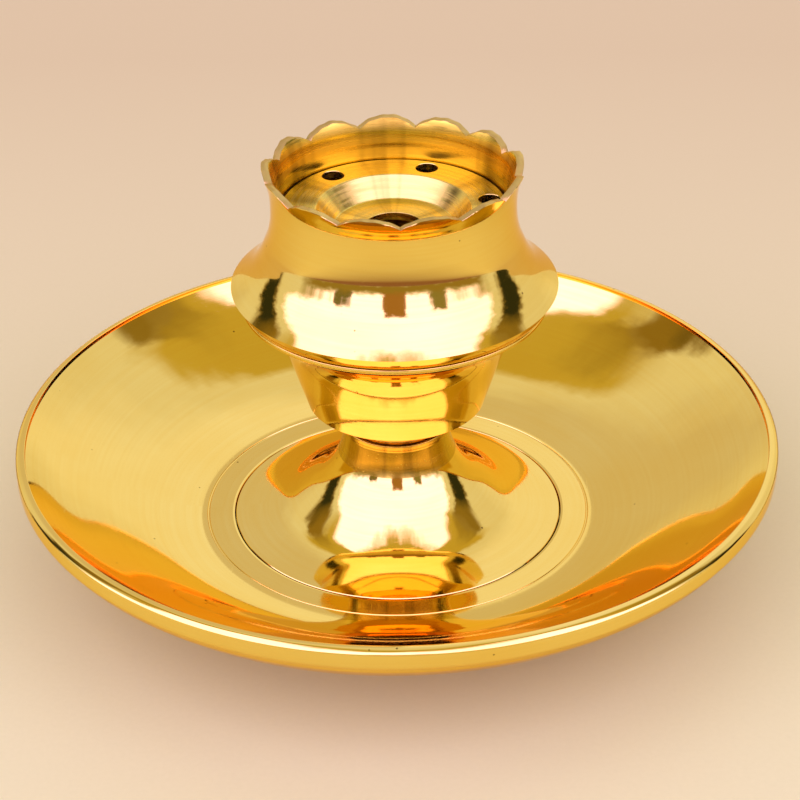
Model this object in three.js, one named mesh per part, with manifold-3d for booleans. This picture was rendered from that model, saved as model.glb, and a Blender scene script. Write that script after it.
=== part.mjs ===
// A turned brass incense stand: plate, stem, cup, scalloped crown and pierced disc, screwed and set
// on one axis. Millimetres, +Z up, the plate's foot ring stands on Z = 0.
import * as THREE from "three";
import { mergeVertices } from "three/addons/utils/BufferGeometryUtils.js";
import Module from "manifold-3d";

const wasm = await Module();
wasm.setup();

// Plate
const plateRadius = 75;
const plateLipWidth = 1.9;
const plateLipStep = 0.9;
const plateLipBevel = 0.6;
const plateBandHeight = 3.4;
const plateDepth = 18.2;
const plateFloorRadius = 41;
const plateWallPower = 1.45;
const plateFloorThickness = 2.4;
const plateEdgeThickness = 4.4;
const plateSeatDepth = 1.6;
const plateSeatThickness = 2.4;
const footRingRadius = 40;
const footRingWidth = 3;
const footRingHeight = 7;
const ringGrooveDepth = 0.3;
const seamBevel = 0.45;
const outerRingRadius = 38.15;
const outerRingWidth = 0.5;

// Stem
const stemHeight = 22.2;
const stemFootRadius = 32.6;
const stemNeckRadius = 10.25;
const stemRimRadius = 10.5;
const stemRimHeight = 1.2;
const stemGrooveRadius = 9;
const stemGrooveHeight = 0.6;
const stemRecessRadius = 10;
const stemRecessDepth = 1;

// Cup under the crown
const bowlHeight = 27;
const bowlSeatRadius = 10.2;
const bowlBossHeight = 1;
const bowlHeelRadius = 17.3;
const bowlHeelRise = 4.7;
const bowlLipRadius = 29.4;
const bowlLipThickness = 0.9;
const bowlMouthRadius = 24.4;
const bowlWall = 2.2;
const bowlFloorThickness = 3;

// Crown
const crownHeight = 27.5;
const crownLipRadius = 31.3;
const crownLipLean = 1.7;
const crownLipHeight = 2.7;
const crownWaistRadius = 23.2;
const crownWaistHeight = 18.8;
const crownRimRadius = 25.05;
const crownFlarePower = 2.6;
const crownBoreRadius = 21.8;
const crownLedgeHeight = 16.4;
const crownWall = 1.4;
const crownSkirtDepth = 2.2;
const crownSkirtWall = 1.6;
const crownLedgeWidth = 1.1;
const crownLedgeThickness = 1.6;
const scallopCount = 13;
const scallopDepth = 1.9;
const scallopTurn = -3.8;

// Pierced disc in the crown
const discThickness = 1.6;
const wellRadius = 14.6;
const wellFloorRadius = 11.4;
const wellDepth = 3.7;
const socketRadius = 5.4;
const stickHoleCount = 6;
const stickHoleRadius = 2.15;
const stickHolePitch = 18.4;
const stickHoleTurn = 9.5;

// Fasteners
const screwRadius = 2.5;
const spigotRadius = 3;
const washerRadius = 6.5;
const washerThickness = 1.2;
const screwHeadRadius = 4.75;
const screwHeadHeight = 3;
const screwSocketFlats = 4;
const screwSocketDepth = 1.6;
const screwReach = 8;
const spigotEnd = 1.5;
const nutAcrossFlats = 10;
const nutHeight = 5;

// Clearances
const seatGap = 0.3;
const liftGap = 0.35;
const screwGap = 0.25;

// Measured outlines, as shares of the way from one end to the other: [across, up]
const stemFlare = [
  [0, 0], [0.072, 0.008], [0.121, 0.018], [0.206, 0.04], [0.26, 0.057],
  [0.34, 0.087], [0.43, 0.132], [0.497, 0.178], [0.564, 0.232], [0.653, 0.308],
  [0.743, 0.395], [0.832, 0.512], [0.913, 0.662], [0.975, 0.858], [1, 1],
];
const bowlSide = [
  [0, 0], [0.054, 0.061], [0.107, 0.168], [0.157, 0.262], [0.211, 0.364],
  [0.273, 0.472], [0.388, 0.636], [0.57, 0.799], [0.793, 0.921], [1, 1],
];
const shoulderCurve = [
  [0, 0], [0.284, 0.118], [0.481, 0.224], [0.623, 0.329], [0.722, 0.422], [0.802, 0.516],
  [0.877, 0.609], [0.931, 0.702], [0.967, 0.795], [0.99, 0.888], [1, 1],
];

// Round pieces are turned in this many flats, and the crown in six to a scallop
const plateFlats = 80;
const roundFlats = 56;
const crownFlats = scallopCount * 6;
const smallFlats = 28;

const brass = { color: 0xd9a441, metalness: 1 };
const polished = new THREE.MeshStandardMaterial({ ...brass, roughness: 0.12 });
const turned = new THREE.MeshStandardMaterial({ ...brass, roughness: 0.28 });
const steel = new THREE.MeshStandardMaterial({ color: 0xb9b6ae, metalness: 1, roughness: 0.35 });

// Heights where the pieces sit on each other
const floorLevel = footRingHeight + plateFloorThickness;
const seatLevel = floorLevel - plateSeatDepth;
const plateUnderside = seatLevel - plateSeatThickness;
const footWasherBottom = plateUnderside - washerThickness - seatGap;
const stemBottom = seatLevel + seatGap;
const stemTop = stemBottom + stemHeight;
const bowlBottom = stemTop + seatGap;
const bowlWasherBottom = bowlBottom + bowlFloorThickness + seatGap;
const bowlTop = bowlBottom + bowlHeight;
const crownBottom = bowlTop + seatGap;
const crownTop = crownBottom + crownHeight;
const ledgeTop = crownBottom + crownLedgeHeight;
const discBottom = ledgeTop + seatGap;

// A closed outline of [radius, height] points turned round the Z axis.
function turn(points, flats) {
  const outline = points.map(([r, z]) => new THREE.Vector2(r, z));
  outline.push(outline[0].clone());
  return new THREE.LatheGeometry(outline, flats).rotateX(Math.PI / 2);
}

// Places an outline, given as shares of its width and height, between its two ends.
function between(shares, [fromRadius, fromHeight], [toRadius, toHeight]) {
  return shares.map(([across, up]) => [
    fromRadius + (toRadius - fromRadius) * across,
    fromHeight + (toHeight - fromHeight) * up,
  ]);
}

// Points at equal steps along a smooth line through the given ones.
function smooth(through, steps) {
  const line = new THREE.SplineCurve(through.map(([r, z]) => new THREE.Vector2(r, z)));
  return line.getPoints(steps).map((p) => [p.x, p.y]);
}

function solid(geometry) {
  const bare = geometry.clone();
  bare.deleteAttribute("normal");
  bare.deleteAttribute("uv");
  const merged = mergeVertices(bare, 1e-3);
  return new wasm.Manifold(
    new wasm.Mesh({
      numProp: 3,
      vertProperties: new Float32Array(merged.attributes.position.array),
      triVerts: new Uint32Array(merged.index.array),
    }),
  );
}

function geometryOf(body) {
  const mesh = body.getMesh();
  const geometry = new THREE.BufferGeometry();
  geometry.setAttribute("position", new THREE.BufferAttribute(mesh.vertProperties, 3));
  geometry.setIndex(new THREE.BufferAttribute(mesh.triVerts, 1));
  const flat = geometry.toNonIndexed();
  flat.computeVertexNormals();
  return flat;
}

// An upright cylinder from one height to another.
function post(radius, from, to, flats) {
  const geometry = new THREE.CylinderGeometry(radius, radius, to - from, flats);
  return geometry.rotateX(Math.PI / 2).translate(0, 0, (from + to) / 2);
}

function piece(name, geometry, material) {
  const mesh = new THREE.Mesh(geometry, material);
  mesh.name = name;
  return mesh;
}

// Height of the plate's upper face: a level band and a wall that steepens towards the lip.
function plateFace(radius) {
  const wallSpan = plateRadius - plateLipWidth - plateFloorRadius;
  const share = Math.max(0, (radius - plateFloorRadius) / wallSpan);
  return floorLevel + plateDepth * share ** plateWallPower;
}

function plateThickness(radius) {
  const t = THREE.MathUtils.smoothstep(radius, plateFloorRadius, plateRadius - plateLipWidth);
  return plateFloorThickness + (plateEdgeThickness - plateFloorThickness) * t;
}

// Radii at equal steps from one to another, the first left out.
function steps(from, to, count) {
  return Array.from({ length: count }, (_, i) => from + ((to - from) * (i + 1)) / count);
}

function grooveAt(radius, width) {
  return [
    [radius - width / 2, plateFace(radius - width / 2)],
    [radius, plateFace(radius) - ringGrooveDepth],
    [radius + width / 2, plateFace(radius + width / 2)],
  ];
}

// The dish: a sunk seat for the stem's foot with a bevelled edge, one cut circle, a bevelled lip, a heavy
// edge and a foot ring.
function ashPlate() {
  const hole = screwRadius + screwGap;
  const seatRadius = stemFootRadius + seatGap;
  const lipInside = plateRadius - plateLipWidth;
  const lipTop = plateFace(lipInside) + plateLipStep;
  const edgeTop = lipTop - plateLipBevel;
  const edgeBottom = edgeTop - plateBandHeight;
  const footInside = footRingRadius - footRingWidth;
  const under = (r) => [r, plateFace(r) - plateThickness(r)];
  const face = (r) => [r, plateFace(r)];
  const outline = [
    [hole, seatLevel],
    [seatRadius, seatLevel],
    [seatRadius, floorLevel - seamBevel],
    [seatRadius + seamBevel, floorLevel],
    ...grooveAt(outerRingRadius, outerRingWidth),
    face(plateFloorRadius),
    ...steps(plateFloorRadius, lipInside, 9).map(face),
    [lipInside, lipTop],
    [plateRadius - plateLipWidth / 2, lipTop - plateLipBevel / 4],
    [plateRadius - 0.3, edgeTop],
    [plateRadius, edgeTop - 0.4],
    [plateRadius, edgeBottom + 0.8],
    [plateRadius - 0.7, edgeBottom],
    ...steps(lipInside - 0.6, plateFloorRadius, 6).map(under),
    [footRingRadius, footRingHeight],
    [footRingRadius, 0.4],
    [footRingRadius - 0.4, 0],
    [footInside + 0.4, 0],
    [footInside, 0.4],
    under(footInside),
    [seatRadius + seamBevel, plateUnderside],
    [hole, plateUnderside],
  ];
  return piece("ash_plate", turn(outline.reverse(), plateFlats), polished);
}

// The stem: a wide trumpet foot let into the plate's seat, with a blind screw hole below, and a neck
// groove and a spigot above.
function stemPiece() {
  const hole = screwRadius + screwGap;
  const grooveBottom = stemTop - stemGrooveHeight;
  const rimBottom = grooveBottom - stemRimHeight;
  const spigotTop = bowlWasherBottom + washerThickness + seatGap + nutHeight + spigotEnd;
  const flare = between(stemFlare, [stemFootRadius, floorLevel], [stemNeckRadius, rimBottom]);
  const outline = [
    [0, stemBottom + screwReach + 1],
    [hole, stemBottom + screwReach + 1],
    [hole, stemBottom + stemRecessDepth],
    [stemRecessRadius, stemBottom + stemRecessDepth],
    [stemRecessRadius, stemBottom],
    [stemFootRadius, stemBottom],
    ...smooth(flare, 28),
    [stemRimRadius, rimBottom],
    [stemRimRadius, grooveBottom - 0.3],
    [stemRimRadius - 0.3, grooveBottom],
    [stemGrooveRadius, grooveBottom],
    [stemGrooveRadius, stemTop],
    [spigotRadius, stemTop],
    [spigotRadius, spigotTop - 0.5],
    [spigotRadius - 0.5, spigotTop],
    [0, spigotTop],
  ];
  return piece("stem", turn(outline, roundFlats), polished);
}

// The cup: a short boss below, a sharp heel, sides that flare into a flat lip, and a hole for the spigot.
function bowlPiece() {
  const hole = spigotRadius + screwGap;
  const heel = [bowlHeelRadius, bowlBottom + bowlHeelRise];
  const side = between(bowlSide, heel, [bowlLipRadius, bowlTop - bowlLipThickness]);
  const backOf = ([r, z]) => [r - bowlWall, z];
  const outline = [
    [hole, bowlBottom],
    [bowlSeatRadius, bowlBottom],
    [bowlSeatRadius, bowlBottom + bowlBossHeight],
    [bowlHeelRadius - 0.4, bowlBottom + bowlHeelRise - 0.5],
    ...smooth(side, 18),
    [bowlLipRadius, bowlTop],
    [bowlMouthRadius, bowlTop],
    [bowlMouthRadius, bowlTop - crownSkirtDepth - seatGap],
    ...side.slice(1, 8).reverse().map(backOf),
    [bowlSeatRadius, bowlBottom + bowlFloorThickness],
    [hole, bowlBottom + bowlFloorThickness],
  ];
  return piece("bowl", turn(outline, roundFlats), polished);
}

// Height of the scalloped edge at an angle: arcs that meet in sharp notches.
function scallopHeight(angle) {
  const turnAngle = THREE.MathUtils.degToRad(scallopTurn);
  const share = (((angle - turnAngle) / (2 * Math.PI)) * scallopCount) % 1;
  const along = share < 0 ? share + 1 : share;
  return crownTop - scallopDepth * (1 - Math.sin(Math.PI * along));
}

// Outside radius of the collar: its flare steepens with the height above the waist.
function collarRadius(height) {
  const waist = crownBottom + crownWaistHeight;
  const share = Math.max(0, (height - waist) / (crownTop - waist));
  return crownWaistRadius + (crownRimRadius - crownWaistRadius) * share ** crownFlarePower;
}

// Pulls the collar's edge down along its own flare to the scalloped line.
function cutScallops(geometry) {
  const start = crownTop - scallopDepth - 1.5;
  const position = geometry.attributes.position;
  for (let i = 0; i < position.count; i += 1) {
    const x = position.getX(i);
    const y = position.getY(i);
    const z = position.getZ(i);
    if (z > start) {
      const share = (z - start) / (crownTop - start);
      const height = start + share * (scallopHeight(Math.atan2(y, x)) - start);
      const radius = Math.hypot(x, y);
      const scale = (radius + collarRadius(height) - collarRadius(z)) / radius;
      position.setXYZ(i, x * scale, y * scale, height);
    }
  }
  return geometry;
}

// The crown: lip and shoulder, waisted collar with a scalloped edge, ledge for the disc, and a skirt
// that drops into the cup's mouth.
function crownPiece() {
  const skirtOutside = bowlMouthRadius - liftGap;
  const skirtInside = skirtOutside - crownSkirtWall;
  const ledgeInside = crownBoreRadius - crownLedgeWidth;
  const waist = crownBottom + crownWaistHeight;
  const lipTop = crownBottom + crownLipHeight;
  const shoulder = between(shoulderCurve, [crownLipRadius, lipTop], [crownWaistRadius, waist]);
  const backOf = ([r, z]) => [r - crownWall - 0.5, z];
  const inner = (z) => [Math.max(crownBoreRadius, collarRadius(z) - crownWall), z];
  const outline = [
    [skirtOutside, crownBottom - crownSkirtDepth],
    [skirtOutside, crownBottom],
    [crownLipRadius - crownLipLean, crownBottom],
    ...smooth(shoulder, 20),
    ...steps(waist, crownTop, 5).map((z) => [collarRadius(z), z]),
    ...steps(ledgeTop, crownTop, 6).reverse().map(inner),
    [crownBoreRadius, ledgeTop],
    [ledgeInside, ledgeTop],
    [ledgeInside, ledgeTop - crownLedgeThickness],
    backOf(shoulder[6]),
    [skirtInside, shoulder[5][1]],
    [skirtInside, crownBottom - crownSkirtDepth],
  ];
  return piece("crown", cutScallops(turn(outline, crownFlats)), polished);
}

// The pierced disc: a flat ring with stick holes, and a sunk well with a socket through its level floor.
function incenseDisc() {
  const edge = crownBoreRadius - liftGap;
  const top = discBottom + discThickness;
  const wellFloor = top - wellDepth;
  const wall = discThickness * 0.7;
  const outline = [
    [edge, discBottom],
    [edge, top - 0.2],
    [edge - 0.2, top],
    [wellRadius + 0.4, top],
    [wellRadius, top - 0.4],
    [wellFloorRadius, wellFloor],
    [socketRadius, wellFloor],
    [socketRadius, wellFloor - discThickness],
    [wellFloorRadius + wall - 0.8, wellFloor - discThickness],
    [wellFloorRadius + wall, wellFloor - discThickness + 0.8],
    [wellRadius + wall, discBottom],
  ];
  let body = solid(turn(outline, roundFlats));
  for (let i = 0; i < stickHoleCount; i += 1) {
    const angle = THREE.MathUtils.degToRad(stickHoleTurn + (360 * i) / stickHoleCount);
    const drill = post(stickHoleRadius, wellFloor, top + 1, smallFlats);
    drill.translate(stickHolePitch * Math.cos(angle), stickHolePitch * Math.sin(angle), 0);
    body = body.subtract(solid(drill));
  }
  return piece("incense_disc", geometryOf(body), turned);
}

function washer(name, hole, bottom, material) {
  const outline = [
    [hole, bottom],
    [washerRadius, bottom],
    [washerRadius, bottom + washerThickness],
    [hole, bottom + washerThickness],
  ];
  return piece(name, turn(outline, smallFlats), material);
}

// The screw that goes up through the plate into the stem, with a square socket in its head.
function footScrew() {
  const headTop = footWasherBottom - seatGap;
  const headBottom = headTop - screwHeadHeight;
  const outline = [
    [0, headBottom],
    [screwHeadRadius - 0.5, headBottom],
    [screwHeadRadius, headBottom + 0.5],
    [screwHeadRadius, headTop],
    [screwRadius, headTop],
    [screwRadius, stemBottom + screwReach - 0.5],
    [screwRadius - 0.5, stemBottom + screwReach],
    [0, stemBottom + screwReach],
  ];
  const socket = new THREE.BoxGeometry(screwSocketFlats, screwSocketFlats, 2 * screwSocketDepth);
  socket.translate(0, 0, headBottom);
  const body = solid(turn(outline, smallFlats)).subtract(solid(socket));
  return piece("foot_screw", geometryOf(body), steel);
}

function bowlNut() {
  const bottom = bowlWasherBottom + washerThickness + seatGap;
  const corner = nutAcrossFlats / Math.sqrt(3);
  const blank = solid(post(corner, bottom, bottom + nutHeight, 6));
  const bore = solid(post(spigotRadius + screwGap, bottom - 1, bottom + nutHeight + 1, smallFlats));
  return piece("bowl_nut", geometryOf(blank.subtract(bore)), steel);
}

const incenseStand = new THREE.Group();
incenseStand.add(ashPlate());
incenseStand.add(stemPiece());
incenseStand.add(washer("foot_washer", screwRadius + screwGap, footWasherBottom, steel));
incenseStand.add(footScrew());
incenseStand.add(bowlPiece());
incenseStand.add(washer("bowl_washer", spigotRadius + screwGap, bowlWasherBottom, steel));
incenseStand.add(bowlNut());
incenseStand.add(crownPiece());
incenseStand.add(incenseDisc());
export default incenseStand;
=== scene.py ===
# A turned brass incense stand on its ash plate, dressed for the camera. Every piece is turned on the Z
# axis. Its outline is written in millimetres as (radius, height), and its mesh is in metres.
import math
from functools import partial

import bmesh
import bpy
import numpy as np
from mathutils import Matrix, Vector


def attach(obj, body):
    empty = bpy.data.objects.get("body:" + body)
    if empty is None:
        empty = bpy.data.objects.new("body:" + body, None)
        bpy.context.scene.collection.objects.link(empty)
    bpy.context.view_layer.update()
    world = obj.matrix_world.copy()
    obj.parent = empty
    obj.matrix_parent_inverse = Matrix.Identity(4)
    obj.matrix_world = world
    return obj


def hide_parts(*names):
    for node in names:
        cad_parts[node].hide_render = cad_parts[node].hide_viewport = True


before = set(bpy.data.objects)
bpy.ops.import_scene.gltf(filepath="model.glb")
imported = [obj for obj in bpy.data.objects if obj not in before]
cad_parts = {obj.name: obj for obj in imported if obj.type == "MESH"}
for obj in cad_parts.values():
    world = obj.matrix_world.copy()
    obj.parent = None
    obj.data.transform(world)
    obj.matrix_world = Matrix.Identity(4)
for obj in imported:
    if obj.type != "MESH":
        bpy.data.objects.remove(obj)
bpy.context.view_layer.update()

# Ash plate: one heavy brass casting, turned and then mirror polished on its upper face. It has a sunk
# seat for the stem's foot, a fine turned circle outside it, a flat lip and a foot ring.
FLOOR = 9.4
SEAT = 7.8
PLATE_CURVE = [
    (33.1, 0.0), (37, 0.06), (41, 0.35), (46, 1.45), (51, 3.5), (57, 6.75), (63, 10.5), (68.5, 14.3),
    (73.1, 18.2),
]
CIRCLE_RADIUS = 38.15
CIRCLE_WIDTH = 0.5
CIRCLE_DEPTH = 0.2
POLISHED_BRASS = (0.91, 0.695, 0.165, 1)
WARM_BRASS = (0.86, 0.56, 0.08, 1)


def flowing(points, count):
    """Natural cubic spline through (radius, height) points, spaced by the length of its chords."""
    points = np.array(points, float)
    run = np.concatenate([[0], np.cumsum(np.hypot(*np.diff(points, axis=0).T))])
    gap = np.diff(run)
    size = len(points)
    system = np.eye(size)
    inner = np.arange(1, size - 1)
    system[inner, inner - 1] = gap[:-1]
    system[inner, inner] = 2 * (gap[:-1] + gap[1:])
    system[inner, inner + 1] = gap[1:]
    slopes = np.diff(points, axis=0) / gap[:, None]
    target = np.zeros_like(points)
    target[1:-1] = 6 * np.diff(slopes, axis=0)
    bend = np.linalg.solve(system, target)
    at = np.linspace(0, run[-1], count)
    i = np.clip(np.searchsorted(run, at, side="right") - 1, 0, size - 2)
    a = ((run[i + 1] - at) / gap[i])[:, None]
    b = 1 - a
    h = gap[i][:, None]
    line = a * points[i] + b * points[i + 1]
    return line + ((a**3 - a) * bend[i] + (b**3 - b) * bend[i + 1]) * h**2 / 6


def rounded(corners, steps=5):
    """Outline through (radius, height, fillet) corners. A fillet is a parabola between the two legs, that
    starts and ends the fillet's length away from the corner."""
    corners = np.array(corners, float)
    place = corners[:, :2]
    before = np.roll(place, 1, axis=0) - place
    after = np.roll(place, -1, axis=0) - place
    before /= np.linalg.norm(before, axis=1)[:, None]
    after /= np.linalg.norm(after, axis=1)[:, None]
    t = np.linspace(0, 1, steps)[None, :, None]
    fillet = corners[:, 2][:, None, None]
    entry = place[:, None] + before[:, None] * fillet
    leave = place[:, None] + after[:, None] * fillet
    return ((1 - t) ** 2 * entry + 2 * t * (1 - t) * place[:, None] + t**2 * leave).reshape(-1, 2)


def turned(outline, sides, start=0.0, shape=None):
    """Points of an outline turned round Z: (r cos a, r sin a, z), and the quads between neighbours.
    shape, where given, moves the grid of radii, heights and angles first."""
    outline = np.array(outline, float)
    angle = start + np.linspace(0, 2 * np.pi, sides, endpoint=False)[None, :]
    radius = np.repeat(outline[:, :1], sides, axis=1)
    height = np.repeat(outline[:, 1:2], sides, axis=1)
    if shape is not None:
        radius, height = shape(radius, height, angle)
    grid = np.stack([radius * np.cos(angle), radius * np.sin(angle), height], -1)
    row, column = np.meshgrid(np.arange(len(outline)), np.arange(sides), indexing="ij")
    below = (row + 1) % len(outline)
    beside = (column + 1) % sides
    quads = np.stack([row * sides + column, row * sides + beside,
                      below * sides + beside, below * sides + column], -1)
    return grid.reshape(-1, 3), quads.reshape(-1, 4)


def made(name, points, quads, *finishes):
    """A closed mesh of points in millimetres: doubles merged, faces out, edges over 35 degrees kept sharp."""
    mesh = bpy.data.meshes.new(name)
    mesh.from_pydata((points / 1000).tolist(), [], quads.tolist())
    shell = bmesh.new()
    shell.from_mesh(mesh)
    bmesh.ops.remove_doubles(shell, verts=shell.verts, dist=2e-6)
    bmesh.ops.dissolve_degenerate(shell, edges=shell.edges, dist=1e-7)
    bmesh.ops.recalc_face_normals(shell, faces=shell.faces)
    shell.to_mesh(mesh)
    shell.free()
    mesh.shade_smooth()
    mesh.set_sharp_from_angle(angle=math.radians(35))
    for finish in finishes:
        mesh.materials.append(finish)
    piece = bpy.data.objects.new(name, mesh)
    bpy.context.collection.objects.link(piece)
    return piece


def add_node(tree, kind, inputs=(), **settings):
    """A node with its settings, each input linked to the socket or given the value that stands for it."""
    added = tree.nodes.new(kind)
    for key, value in settings.items():
        setattr(added, key, value)
    for key, value in dict(inputs).items():
        if isinstance(value, bpy.types.NodeSocket):
            tree.links.new(value, added.inputs[key])
        else:
            added.inputs[key].default_value = value
    return added


def turned_metal(name, colour, warm, roughness, line_depth, line_scale=1500, scratches=0.3,
                 along_lathe=0.0, painted_bands=0.0):
    """Metal off a lathe: its marks are noise on (radius, height) alone, so they run round the axis.
    Hairline scratches, small pits and slow warm stains lie over them. Dark bands by bearing darken it as
    painted reflection of the room in the brushed metal. The depth of the lines is in metres, and their
    scale in lines to the metre."""
    material = bpy.data.materials.new(name)
    material.use_nodes = True
    tree = material.node_tree
    shader = tree.nodes["Principled BSDF"]
    node = partial(add_node, tree)

    place = node("ShaderNodeTexCoord").outputs["Object"]
    parts = node("ShaderNodeSeparateXYZ", {0: place}).outputs
    flat = node("ShaderNodeCombineXYZ", {0: parts[0], 1: parts[1]}).outputs[0]
    radius = node("ShaderNodeVectorMath", {0: flat}, operation="LENGTH").outputs["Value"]
    bearing = node("ShaderNodeMath", {0: parts[1], 1: parts[0]}, operation="ARCTAN2").outputs[0]
    drift = node("ShaderNodeMath", {0: bearing, 1: 0.0006}, operation="MULTIPLY").outputs[0]
    lathe = node("ShaderNodeCombineXYZ", {0: radius, 1: parts[2], 2: drift}).outputs[0]

    lines = node("ShaderNodeTexNoise", {"Vector": lathe, "Scale": line_scale, "Detail": 3.0,
                                        "Roughness": 0.6})
    ripple = node("ShaderNodeTexNoise", {"Vector": lathe, "Scale": line_scale * 0.22, "Detail": 1.0})
    hair_a = node("ShaderNodeMapping", {"Vector": place, "Rotation": (0.3, 0.5, 0.6), "Scale": (1, 26, 26)})
    hair_b = node("ShaderNodeMapping", {"Vector": place, "Rotation": (0.9, 0.1, 2.1), "Scale": (30, 1, 30)})
    scratch_a = node("ShaderNodeTexNoise", {"Vector": hair_a.outputs[0], "Scale": 90.0, "Detail": 2.0})
    scratch_b = node("ShaderNodeTexNoise", {"Vector": hair_b.outputs[0], "Scale": 90.0, "Detail": 2.0})
    scratched = node("ShaderNodeMath", {0: scratch_a.outputs[0], 1: scratch_b.outputs[0]},
                     operation="MAXIMUM")
    hairs = node("ShaderNodeMapRange", {"Value": scratched.outputs[0], "From Min": 0.68, "From Max": 0.74})
    cells = node("ShaderNodeTexVoronoi", {"Vector": place, "Scale": 420.0})
    pit_cell = node("ShaderNodeSeparateColor", {0: cells.outputs["Color"]}).outputs[0]
    few = node("ShaderNodeMath", {0: pit_cell, 1: 0.965}, operation="GREATER_THAN")
    near = node("ShaderNodeMapRange", {"Value": cells.outputs["Distance"], "From Min": 0.05, "From Max": 0.11,
                                       "To Min": 1.0, "To Max": 0.0})
    pits = node("ShaderNodeMath", {0: few.outputs[0], 1: near.outputs[0]}, operation="MULTIPLY")

    stain = node("ShaderNodeTexNoise", {"Vector": place, "Scale": 38.0, "Detail": 4.0, "Roughness": 0.55})
    stained = node("ShaderNodeMapRange", {"Value": stain.outputs[0], "From Min": 0.35, "From Max": 0.75,
                                          "To Min": 0.0, "To Max": 0.45})
    tone = node("ShaderNodeMix", {0: stained.outputs[0], 6: colour, 7: warm}, data_type="RGBA")
    lined = node("ShaderNodeMapRange", {"Value": lines.outputs[0], "From Min": 0.3, "From Max": 0.7,
                                        "To Min": 0.0, "To Max": 0.3})
    shaded = node("ShaderNodeMix", {0: lined.outputs[0], 6: tone.outputs[2], 7: warm}, data_type="RGBA")
    dark = (warm[0] * 0.25, warm[1] * 0.22, warm[2] * 0.25, 1)
    # painted reflection: dark bands that vary with bearing alone stand in for the room reflected in brushed
    # metal
    if painted_bands:
        reflection_noise = node("ShaderNodeTexNoise", {"W": bearing, "Scale": 2.6, "Detail": 2.5},
                      noise_dimensions="1D")
        reflection_share = node("ShaderNodeMapRange", {"Value": reflection_noise.outputs[0], "From Min": 0.5, "From Max": 0.68,
                                            "To Min": 0.0, "To Max": painted_bands})
        shaded = node("ShaderNodeMix", {0: reflection_share.outputs[0], 6: shaded.outputs[2], 7: dark}, data_type="RGBA")
    pitted = node("ShaderNodeMix", {0: pits.outputs[0], 6: shaded.outputs[2], 7: dark}, data_type="RGBA")
    tree.links.new(pitted.outputs[2], shader.inputs["Base Color"])

    dull = node("ShaderNodeMapRange", {"Value": lines.outputs[0], "From Min": 0.3, "From Max": 0.7,
                                       "To Min": roughness * 0.7, "To Max": roughness * 1.5})
    duller = node("ShaderNodeMath", {0: hairs.outputs[0], 1: 0.08 * scratches, 2: dull.outputs[0]},
                  operation="MULTIPLY_ADD")
    tree.links.new(duller.outputs[0], shader.inputs["Roughness"])

    rise = node("ShaderNodeMath", {0: ripple.outputs[0], 1: 2.2, 2: lines.outputs[0]},
                operation="MULTIPLY_ADD")
    cut = node("ShaderNodeMath", {0: hairs.outputs[0], 1: -0.9 * scratches, 2: rise.outputs[0]},
               operation="MULTIPLY_ADD")
    sunk = node("ShaderNodeMath", {0: pits.outputs[0], 1: -3.0, 2: cut.outputs[0]}, operation="MULTIPLY_ADD")
    bump = node("ShaderNodeBump", {"Height": sunk.outputs[0], "Distance": line_depth, "Strength": 1.0})
    tree.links.new(bump.outputs[0], shader.inputs["Normal"])
    shader.inputs["Metallic"].default_value = 1.0
    shader.inputs["Specular Tint"].default_value = (1.0, 0.82, 0.5, 1)
    if along_lathe:
        tangent = node("ShaderNodeTangent", direction_type="RADIAL", axis="Z")
        tree.links.new(tangent.outputs[0], shader.inputs["Tangent"])
        shader.inputs["Anisotropic"].default_value = along_lathe
        shader.inputs["Anisotropic Rotation"].default_value = 0.0
    return material


def with_circle(line, radius, width, depth):
    """Cuts a groove with a half-round floor into a rising line of points. It is depth * sqrt(1 - a^2)
    deep, where a runs from -1 to 1 across its width."""
    across = np.linspace(-1, 1, 11)
    kept = line[np.abs(line[:, 0] - radius) > width / 2]
    groove = radius + across * width / 2
    floor = np.interp(groove, line[:, 0], line[:, 1]) - depth * np.sqrt(np.maximum(0, 1 - across**2))
    line = np.vstack([kept, np.stack([groove, floor], -1)])
    return line[np.argsort(line[:, 0])]


plate_face = np.vstack([
    [[2.75, SEAT], [32.65, SEAT], [32.74, SEAT + 0.1], [32.74, FLOOR - 0.3], [32.9, FLOOR - 0.05]],
    with_circle(flowing(PLATE_CURVE, 110), CIRCLE_RADIUS, CIRCLE_WIDTH, CIRCLE_DEPTH) + [0, FLOOR],
])
plate_edge = rounded([
    (73.1, FLOOR + 19.1, 0.25), (74.05, FLOOR + 18.95, 0.3), (74.9, FLOOR + 18.4, 0.35),
    (75, FLOOR + 18.0, 0.3), (75, FLOOR + 15.4, 0.7), (74.3, FLOOR + 14.5, 0.4),
])
plate_under = flowing([(73.65, 23.0), (70.6, 20.0), (62, 14.4), (54, 10.3), (46, 7.9), (40.3, 7.0)], 40)
foot_ring = rounded([(40, 6.6, 0.25), (40, 0, 0.45), (37, 0, 0.45), (37, 6.6, 0.25)])
plate_middle = np.array([(36.7, 7.0), (33.4, 5.4), (2.75, 5.4)])
polished_brass = turned_metal("polished_brass", POLISHED_BRASS, WARM_BRASS, 0.05, 1.1e-6, scratches=0.6)
plate_outline = np.vstack([plate_face, plate_edge, plate_under, foot_ring, plate_middle])
ash_plate = made("ash_plate_turned", *turned(plate_outline, 360), polished_brass)
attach(ash_plate, "base")
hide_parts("ash_plate")

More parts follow.
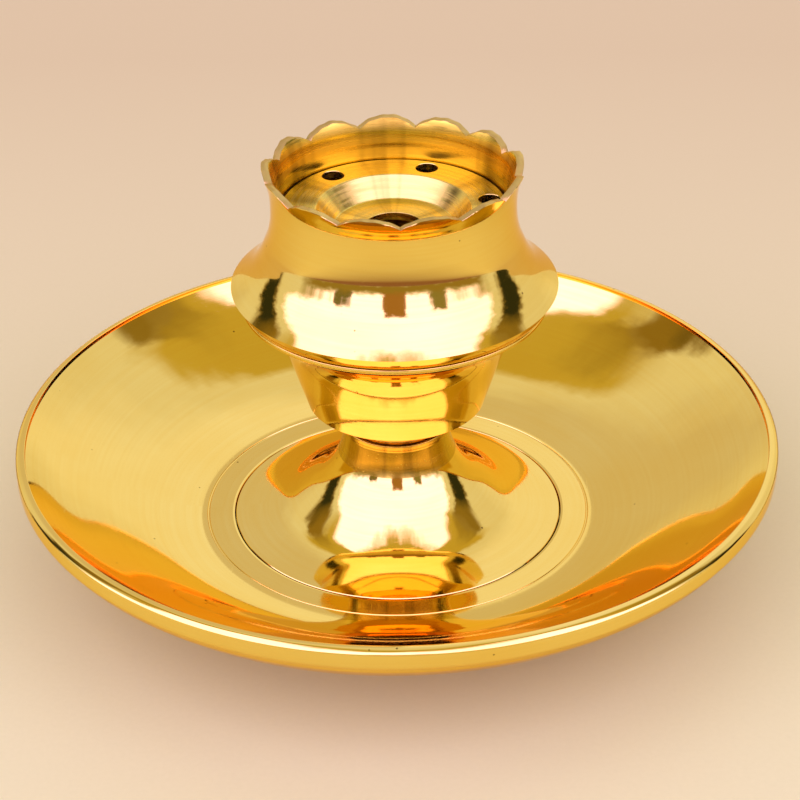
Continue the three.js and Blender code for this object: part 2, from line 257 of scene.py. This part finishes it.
# Stem: solid brass, with a wide trumpet foot let into the plate so that the polished face runs on. Its
# neck is left brushed, with crossing grinding marks, and a narrow groove parts its rim from the cup.
STEM_BOTTOM = 8.1
STEM_TOP = 30.3
BRUSHED_FROM = 23.2
bell_side = flowing([
    (32.5, FLOOR), (31, FLOOR + 0.154), (29.9, FLOOR + 0.338), (28, FLOOR + 0.759),
    (26.8, FLOOR + 1.081), (25, FLOOR + 1.666), (23, FLOOR + 2.523), (21.5, FLOOR + 3.396),
    (20, FLOOR + 4.427), (18, FLOOR + 5.89), (16, FLOOR + 7.54), (14, FLOOR + 9.77),
    (12.2, FLOOR + 12.64), (10.8, FLOOR + 16.38), (10.3, FLOOR + 18.9),
], 160)
stem_top = rounded([
    (10.5, STEM_TOP - 1.7, 0.2), (10.5, STEM_TOP - 0.6, 0.25), (9.0, STEM_TOP - 0.6, 0.1),
    (9.0, STEM_TOP, 0.1), (3.0, STEM_TOP, 0.1), (3.0, STEM_TOP + 11.6, 0.5),
])
stem_foot = np.array([
    (0.0, STEM_TOP + 11.6), (0.0, STEM_BOTTOM + 9), (2.75, STEM_BOTTOM + 9), (2.75, STEM_BOTTOM + 1),
    (10.0, STEM_BOTTOM + 1), (10.0, STEM_BOTTOM), (32.5, STEM_BOTTOM), (32.6, STEM_BOTTOM + 0.1),
    (32.6, FLOOR - 0.12),
])
# the neck's dark bands by bearing are painted reflection
brushed_brass = turned_metal("brushed_brass", (0.68, 0.49, 0.06, 1), (0.56, 0.37, 0.03, 1), 0.2, 2.5e-6,
                             line_scale=1100, scratches=1.2, along_lathe=0.5, painted_bands=0.5)


def middles_and_normals(piece):
    """Middles in millimetres and normals of a piece's faces, as rows of x, y and z."""
    middles = np.zeros(len(piece.data.polygons) * 3)
    normals = np.zeros(len(piece.data.polygons) * 3)
    piece.data.polygons.foreach_get("center", middles)
    piece.data.polygons.foreach_get("normal", normals)
    return middles.reshape(-1, 3) * 1000, normals.reshape(-1, 3)


stem = made("stem_turned", *turned(np.vstack([bell_side, stem_top, stem_foot]), 240),
            polished_brass, brushed_brass)
stem_middles, _ = middles_and_normals(stem)
stem.data.polygons.foreach_set("material_index", (stem_middles[:, 2] > BRUSHED_FROM).astype(np.int32))
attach(stem, "base")
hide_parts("stem")

# Fasteners: plain zinc-plated steel. A screw and washer under the plate draw the stem down on it, and a
# washer and nut in the cup hold the cup on the stem's spigot.
zinc_steel = turned_metal("zinc_steel", (0.62, 0.61, 0.58, 1), (0.48, 0.45, 0.40, 1), 0.3, 2e-6, 1200, 0.6)
for fastener in ("foot_screw", "foot_washer", "bowl_washer", "bowl_nut"):
    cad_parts[fastener].data.materials.clear()
    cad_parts[fastener].data.materials.append(zinc_steel)

# Cup: a thin-walled brass bowl with a sharp heel, a straight flaring side and a flat lip that carries the
# crown. Its front is bare brass.
BOWL_BOTTOM = 30.6
BOWL_TOP = 57.6
bowl_side = flowing([
    (17.38, 35.3), (17.86, 36.8), (18.53, 38.9), (19.17, 40.9), (19.85, 43.1), (20.6, 45.4), (22.0, 48.9),
    (24.2, 52.4), (26.9, 55.0), (29.3, 56.7),
], 80)
bowl_rim = rounded([(29.4, BOWL_TOP - 0.8, 0.1), (29.4, BOWL_TOP, 0.2), (24.4, BOWL_TOP, 0.2)])
bowl_inside = flowing([
    (24.4, BOWL_TOP - 2.5), (22.0, 52.4), (19.8, 48.9), (18.4, 45.4), (17.0, 40.9), (15.75, 36.8),
    (10.2, BOWL_BOTTOM + 3.0),
], 50)
bowl_base = rounded([
    (3.25, BOWL_BOTTOM + 3.0, 0.1), (3.25, BOWL_BOTTOM, 0.1), (10.2, BOWL_BOTTOM, 0.1),
    (10.2, BOWL_BOTTOM + 1.0, 0.2), (17.1, BOWL_BOTTOM + 4.4, 0.15),
])
bowl_outline = np.vstack([bowl_side, bowl_rim, bowl_inside, bowl_base])
bowl = made("bowl_turned", *turned(bowl_outline, 240), polished_brass)
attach(bowl, "base")
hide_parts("bowl")

# Crown: a turned collar on a wide shoulder, with thirteen scallops filed into its edge by hand. Its skirt
# drops into the cup's mouth, and a ledge inside carries the disc.
CROWN_BOTTOM = 57.9
CROWN_TOP = 85.4
CROWN_WALL = 1.4
CROWN_BORE = 21.8
WAIST = CROWN_BOTTOM + 18.8
LEDGE = 74.3
FILED_FROM = 82
SCALLOPS = 13
SCALLOP_DEPTH = 1.9
SCALLOP_TURN = math.radians(-3.8)


def collar_radius(height):
    """Outside radius of the collar: 23.2 + 1.85 s^2.6, where s runs from 0 at the waist to 1 at the edge."""
    share = np.clip((height - WAIST) / (CROWN_TOP - WAIST), 0, 1)
    return 23.2 + 1.85 * share**2.6


def scalloped(radius, height, angle):
    """Brings the edge down along the collar's flare to arcs that meet in notches: depth times 1 - |sin|.
    The edge is filed by eye, and so lower at the back."""
    start = CROWN_TOP - SCALLOP_DEPTH - 1.5
    arcs = np.abs(np.sin((angle - SCALLOP_TURN) * SCALLOPS / 2))
    unevenness = 0.12
    filed = unevenness * (np.sin(angle * 41 + 1) * np.sin(angle * 17) - 1) - 0.4 * (1 + np.sin(angle))
    edge = CROWN_TOP - SCALLOP_DEPTH * (1 - arcs ** 0.85) + filed
    share = np.clip((height - start) / (CROWN_TOP - start), 0, 1)
    lowered = np.where(height > start, start + share * (edge - start), height)
    return radius + collar_radius(lowered) - collar_radius(height), lowered


collar_heights = np.linspace(WAIST, CROWN_TOP - 0.15, 26)
inner_heights = np.linspace(CROWN_TOP - 0.15, LEDGE, 26)
shoulder = flowing([
    (31.3, 60.6), (29.0, 62.5), (27.4, 64.2), (26.25, 65.9), (25.45, 67.4), (24.8, 68.9), (24.2, 70.4),
    (23.76, 71.9), (23.47, 73.4), (23.28, 74.9), (23.2, WAIST),
], 110)
crown_outline = np.vstack([
    [(24.05, CROWN_BOTTOM - 2.2), (24.05, CROWN_BOTTOM)],
    [(29.5, CROWN_BOTTOM), (29.67, CROWN_BOTTOM + 0.1), (31.24, 60.5)],
    shoulder,
    np.stack([collar_radius(collar_heights), collar_heights], -1)[1:],
    [(24.95, CROWN_TOP - 0.02), (24.35, CROWN_TOP), (23.75, CROWN_TOP - 0.02)],
    np.stack([np.maximum(CROWN_BORE, collar_radius(inner_heights) - CROWN_WALL), inner_heights], -1),
    [(20.7, LEDGE), (20.7, LEDGE - 1.6), (22.3, 70.4), (22.45, 68.9), (22.45, CROWN_BOTTOM - 2.2)],
])
# the collar's inner wall gets dark bands by bearing as painted reflection
turned_brass = turned_metal("turned_brass", (0.80, 0.62, 0.07, 1), (0.66, 0.44, 0.03, 1), 0.25, 2.4e-6,
                            line_scale=1300, scratches=0.6, along_lathe=0.6, painted_bands=0.6)
filed_brass = turned_metal("filed_brass", (0.78, 0.57, 0.15, 1), (0.24, 0.15, 0.04, 1), 0.34, 1.2e-5,
                           line_scale=500, scratches=1.0)
crown = made("crown_turned", *turned(crown_outline, SCALLOPS * 24, SCALLOP_TURN, scalloped),
             polished_brass, turned_brass, filed_brass)
middles, normals = middles_and_normals(crown)
outward = (middles[:, :2] * normals[:, :2]).sum(axis=1) / np.hypot(middles[:, 0], middles[:, 1])
edge_faces = (middles[:, 2] > FILED_FROM) & (normals[:, 2] > 0.45)
inner_faces = (middles[:, 2] > LEDGE) & (outward < -0.5)
crown_finishes = np.where(edge_faces, 2, np.where(inner_faces, 1, 0))
crown.data.polygons.foreach_set("material_index", crown_finishes.astype(np.int32))
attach(crown, "crown_lid")
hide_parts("crown")

# Incense disc: turned from thick brass, with a sunk well that has a socket through the middle of its level
# floor. Six stick holes are drilled through its flat ring.
DISC_BOTTOM = 74.6
DISC_TOP = 76.2
WELL_FLOOR = DISC_TOP - 3.7
RING_INNER = 15.5
RING_INNER_BELOW = 16.15
RING_OUTER = 21.25
RING_OUTER_BELOW = 21.35
STICK_HOLES = 6
HOLE_RADIUS = 2.15
HOLE_PITCH = 18.4
HOLE_TURN = math.radians(9.5)
SECTOR_STEPS = 28
SIDE_STEPS = 8


def sector_edge(inner, outer):
    """Closed line round one sixth of a ring, as x and y: outer arc, side, inner arc and side."""
    half = math.pi / STICK_HOLES
    sweep = np.linspace(-half, half, SECTOR_STEPS + 1)
    reach = np.linspace(outer, inner, SIDE_STEPS + 1)
    radius = np.concatenate([np.full(SECTOR_STEPS, outer), reach[:-1],
                             np.full(SECTOR_STEPS, inner), reach[::-1][:-1]])
    angle = np.concatenate([sweep[:-1], np.full(SIDE_STEPS, half),
                            sweep[::-1][:-1], np.full(SIDE_STEPS, -half)])
    return np.stack([radius * np.cos(angle), radius * np.sin(angle)], -1)


def drilled_sector(turn):
    """Top face, hole wall and underside of one sixth of the ring. Each ring of points lies a share of the
    way from the hole's circle to the sector's edge."""
    middle = np.array([HOLE_PITCH, 0.0])
    top_edge = sector_edge(RING_INNER, RING_OUTER)
    low_edge = sector_edge(RING_INNER_BELOW, RING_OUTER_BELOW)
    ray = top_edge - middle
    ray /= np.linalg.norm(ray, axis=1)[:, None]
    hole = middle + ray * HOLE_RADIUS
    hole_edge = middle + ray * (HOLE_RADIUS + 0.08)
    rings = [(top_edge, DISC_TOP)]
    rings += [((1 - s) * hole_edge + s * top_edge, DISC_TOP) for s in (0.6, 0.25, 0.0)]
    rings += [(hole, DISC_TOP - 0.1), (hole, DISC_BOTTOM)]
    rings += [(low_edge, DISC_BOTTOM)]
    flat = np.concatenate([ring for ring, _ in rings])
    level = np.repeat([z for _, z in rings], len(top_edge))
    c, s = math.cos(turn), math.sin(turn)
    points = np.stack([c * flat[:, 0] - s * flat[:, 1], s * flat[:, 0] + c * flat[:, 1], level], -1)
    row, column = np.meshgrid(np.arange(len(rings) - 1), np.arange(len(top_edge)), indexing="ij")
    width = len(top_edge)
    beside = (column + 1) % width
    below = row + 1
    quads = np.stack([row * width + column, row * width + beside,
                      below * width + beside, below * width + column], -1)
    return points, quads.reshape(-1, 4)


def open_turned(outline):
    """The same as turned, with the outline left open and its columns at the ends of the sectors' steps."""
    points, quads = turned(outline, STICK_HOLES * SECTOR_STEPS, HOLE_TURN - math.pi / STICK_HOLES)
    return points, quads[: (len(outline) - 1) * STICK_HOLES * SECTOR_STEPS]


well = np.vstack([
    [(RING_INNER, DISC_TOP)],
    rounded([(RING_INNER, DISC_TOP, 0.0), (14.65, DISC_TOP, 0.18), (11.4, WELL_FLOOR, 0.2),
             (5.4, WELL_FLOOR, 0.15), (5.4, WELL_FLOOR - 1.6, 0.1), (12.1, WELL_FLOOR - 1.6, 0.4),
             (15.7, DISC_BOTTOM, 0.1), (RING_INNER_BELOW, DISC_BOTTOM, 0.0)])[5:-5],
    [(RING_INNER_BELOW, DISC_BOTTOM)],
])
rim = np.array([
    (RING_OUTER_BELOW, DISC_BOTTOM), (21.45, DISC_BOTTOM + 0.1), (21.45, DISC_TOP - 0.2),
    (RING_OUTER, DISC_TOP),
])
patches = [drilled_sector(HOLE_TURN + k * math.tau / STICK_HOLES) for k in range(STICK_HOLES)]
patches += [open_turned(well), open_turned(rim)]
starts = np.cumsum([0] + [len(points) for points, _ in patches[:-1]])
# the disc's dark bands by bearing are painted reflection
satin_brass = turned_metal("satin_brass", (0.80, 0.66, 0.14, 1), (0.64, 0.46, 0.06, 1), 0.24, 2.2e-6,
                           scratches=0.5, along_lathe=0.6, painted_bands=0.5)
disc = made("incense_disc_turned", np.concatenate([points for points, _ in patches]),
            np.concatenate([quads + first for (_, quads), first in zip(patches, starts)]), satin_brass)
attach(disc, "disc")
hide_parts("incense_disc")

# Table: a pale beige sweep of paper under and behind the stand. It is painted a little darker at the back,
# as painted shade for the light falling off there. Out of the picture in front it darkens to brown, which the
# collar shows as its shaded lower half.
BEIGE_LIGHT = (0.75, 0.74, 0.335, 1)
BEIGE_DARK = (0.72, 0.71, 0.315, 1)
# painted shade: the darker beige at the back stands in for light falling off
BEIGE_SHADED_BEHIND = (0.60, 0.53, 0.235, 1)
BROWN_IN_FRONT = (0.20, 0.10, 0.02, 1)
paper = bpy.data.materials.new("paper")
paper.use_nodes = True
paper_shader = paper.node_tree.nodes["Principled BSDF"]
paper_node = partial(add_node, paper.node_tree)
place = paper_node("ShaderNodeTexCoord").outputs["Object"]
grain = paper_node("ShaderNodeTexNoise", {"Vector": place, "Scale": 900.0}).outputs[0]
depth = paper_node("ShaderNodeSeparateXYZ", {0: place}).outputs[1]
# painted shade: share of the darker beige, rising towards the back of the table
behind = paper_node("ShaderNodeMapRange", {"Value": depth, "From Min": -0.06, "From Max": 0.26}).outputs[0]
in_front = paper_node("ShaderNodeMapRange", {"Value": depth, "From Min": -0.14, "From Max": -0.75}).outputs[0]
tint = paper_node("ShaderNodeMix", {0: grain, 6: BEIGE_DARK, 7: BEIGE_LIGHT}, data_type="RGBA").outputs[2]
tint = paper_node("ShaderNodeMix", {0: behind, 6: tint, 7: BEIGE_SHADED_BEHIND}, data_type="RGBA").outputs[2]
tint = paper_node("ShaderNodeMix", {0: in_front, 6: tint, 7: BROWN_IN_FRONT}, data_type="RGBA").outputs[2]
paper.node_tree.links.new(tint, paper_shader.inputs["Base Color"])
paper_shader.inputs["Roughness"].default_value = 0.9
paper_shader.inputs["Specular IOR Level"].default_value = 0.1
sweep = bpy.data.meshes.new("table")
sweep.from_pydata([(-3, -3, 0), (3, -3, 0), (3, 3, 0), (-3, 3, 0)], [], [(0, 1, 2, 3)])
sweep.materials.append(paper)
table = bpy.data.objects.new("table", sweep)
bpy.context.collection.objects.link(table)

# Room: a pale studio with one wide white screen in front, dark gaps at its two ends and a few dark things
# at its foot. All of it is worked out from the direction that a ray leaves in, as its turn from the front
# and its lift above level, in degrees. Noise shakes both, so that no edge in the brass is ruled.
WALLS = (0.87, 0.82, 1.0, 1)
WALLS_ON_PAPER = (0.84, 0.72, 0.56, 1)
SCREEN = (2.7, 1.95, 5.0, 1)
SCREEN_ON_PAPER = (1.3, 1.24, 1.14, 1)
PAPER_FAR_OFF = (0.84, 0.68, 0.50, 1)
DARK = (0.035, 0.035, 0.02, 1)
TURN_SHAKE = 14.0
LIFT_SHAKE = 12.0
world = bpy.data.worlds.new("room")
bpy.context.scene.world = world
world.use_nodes = True
world.node_tree.nodes.clear()
room_node = partial(add_node, world.node_tree)


def sum_of(value, factor, added):
    """value * factor + added."""
    return room_node("ShaderNodeMath", {0: value, 1: factor, 2: added}, operation="MULTIPLY_ADD").outputs[0]


def band(value, low, high, soft):
    """1 where the value lies between two limits in degrees, fading over soft degrees."""
    rise = room_node("ShaderNodeMapRange", {"Value": value, "From Min": low - soft, "From Max": low + soft})
    fall = room_node("ShaderNodeMapRange", {"Value": value, "From Min": high - soft, "From Max": high + soft,
                                            "To Min": 1.0, "To Max": 0.0})
    return room_node("ShaderNodeMath", {0: rise.outputs[0], 1: fall.outputs[0]},
                     operation="MULTIPLY").outputs[0]


def mixed(share, below, above):
    """The colour below, with a share of the one above laid over it."""
    return room_node("ShaderNodeMix", {0: share, 6: below, 7: above}, data_type="RGBA").outputs[2]


direction = room_node("ShaderNodeTexCoord").outputs["Generated"]
ways = room_node("ShaderNodeSeparateXYZ", {0: direction}).outputs
front = room_node("ShaderNodeMath", {0: ways[1], 1: -1.0}, operation="MULTIPLY").outputs[0]
turn = room_node("ShaderNodeMath", {0: ways[0], 1: front}, operation="ARCTAN2").outputs[0]
turn = room_node("ShaderNodeMath", {0: turn}, operation="DEGREES").outputs[0]
lift = room_node("ShaderNodeMath", {0: ways[2]}, operation="ARCSINE").outputs[0]
lift = room_node("ShaderNodeMath", {0: lift}, operation="DEGREES").outputs[0]
shake = room_node("ShaderNodeTexNoise", {"Vector": direction, "Scale": 9.0, "Detail": 6.0, "Roughness": 0.65})
shaken = room_node("ShaderNodeSeparateColor", {0: shake.outputs["Color"]}).outputs
turn = sum_of(shaken[0], TURN_SHAKE, sum_of(turn, 1.0, -TURN_SHAKE / 2))
lift = sum_of(shaken[1], LIFT_SHAKE, sum_of(lift, 1.0, -LIFT_SHAKE / 2))

path = room_node("ShaderNodeLightPath").outputs
look = mixed(path["Is Diffuse Ray"], WALLS, WALLS_ON_PAPER)
screen = mixed(path["Is Diffuse Ray"], SCREEN, SCREEN_ON_PAPER)
things = [
    # turn from and to, its softness, lift from and to, its softness, colour
    (140, 200, 8, 8, 60, 6, (1.02, 0.98, 1.3, 1)),  # the brighter wall behind on the right
    (-200, -140, 8, 8, 60, 6, (0.74, 0.66, 0.78, 1)),  # the duller wall behind on the left
    (-130, 124, 3, 46, 84, 5, (0.62, 0.46, 0.12, 1)),  # the ceiling round the screen
    (-96, 84, 3, 10, 72, 3, screen),  # the white screen
    (-122, -106, 2.5, -5, 54, 8, (0.30, 0.19, 0.04, 1)),  # the gap left of the screen
    (-120, -108, 1.5, -5, 36, 6, DARK),
    (94, 114, 2.5, -5, 54, 8, (0.30, 0.20, 0.05, 1)),  # the gap right of the screen
    (96, 112, 1.5, -5, 36, 6, DARK),
    (-9, 9, 1.2, -2, 27, 1.5, (0.42, 0.20, 0.08, 1)),  # the stand of the camera
    (30, 44, 1.2, -2, 21, 2, (0.30, 0.25, 0.12, 1)),  # boxes at the screen's foot
    (-50, -36, 1.2, -2, 16, 2, (0.20, 0.17, 0.08, 1)),
    (-80, 80, 6, -4, 9, 4, (0.34, 0.23, 0.07, 1)),  # the far edge of the table
]
for left, right, side_soft, low, high, end_soft, colour in things:
    inside = room_node("ShaderNodeMath", {0: band(turn, left, right, side_soft),
                                          1: band(lift, low, high, end_soft)}, operation="MULTIPLY")
    look = mixed(inside.outputs[0], look, colour)
seen = mixed(path["Is Camera Ray"], look, PAPER_FAR_OFF)
lit = room_node("ShaderNodeBackground", {"Color": seen, "Strength": 1.0})
room_node("ShaderNodeOutputWorld", {"Surface": lit.outputs[0]})

# Camera: solved from the plate's circles in the photograph, a long lens from a little above.
SENSOR_WIDTH = 36
FOCAL_PIXELS = 2357
PHOTO_PIXELS = 800
CAMERA_PLACE = (0.0024, -0.3996, 0.2612 + FLOOR / 1000)
lens = bpy.data.cameras.new("camera")
lens.sensor_width = SENSOR_WIDTH
lens.lens = FOCAL_PIXELS / PHOTO_PIXELS * SENSOR_WIDTH
lens.clip_start = 0.01
lens.clip_end = 20
yaw, pitch, roll = np.radians((-0.239, 30.622, -0.734))
sight = Vector((math.sin(yaw) * math.cos(pitch), math.cos(yaw) * math.cos(pitch), -math.sin(pitch)))
level = Vector((math.cos(yaw), -math.sin(yaw), 0))
upright = level.cross(sight)
across = math.cos(roll) * level + math.sin(roll) * upright
above = math.cos(roll) * upright - math.sin(roll) * level
camera = bpy.data.objects.new("camera", lens)
aim = Matrix((across, above, -sight)).transposed().to_4x4()
camera.matrix_world = Matrix.Translation(CAMERA_PLACE) @ aim
bpy.context.collection.objects.link(camera)
bpy.context.scene.camera = camera
bpy.context.scene.view_settings.view_transform = "Standard"
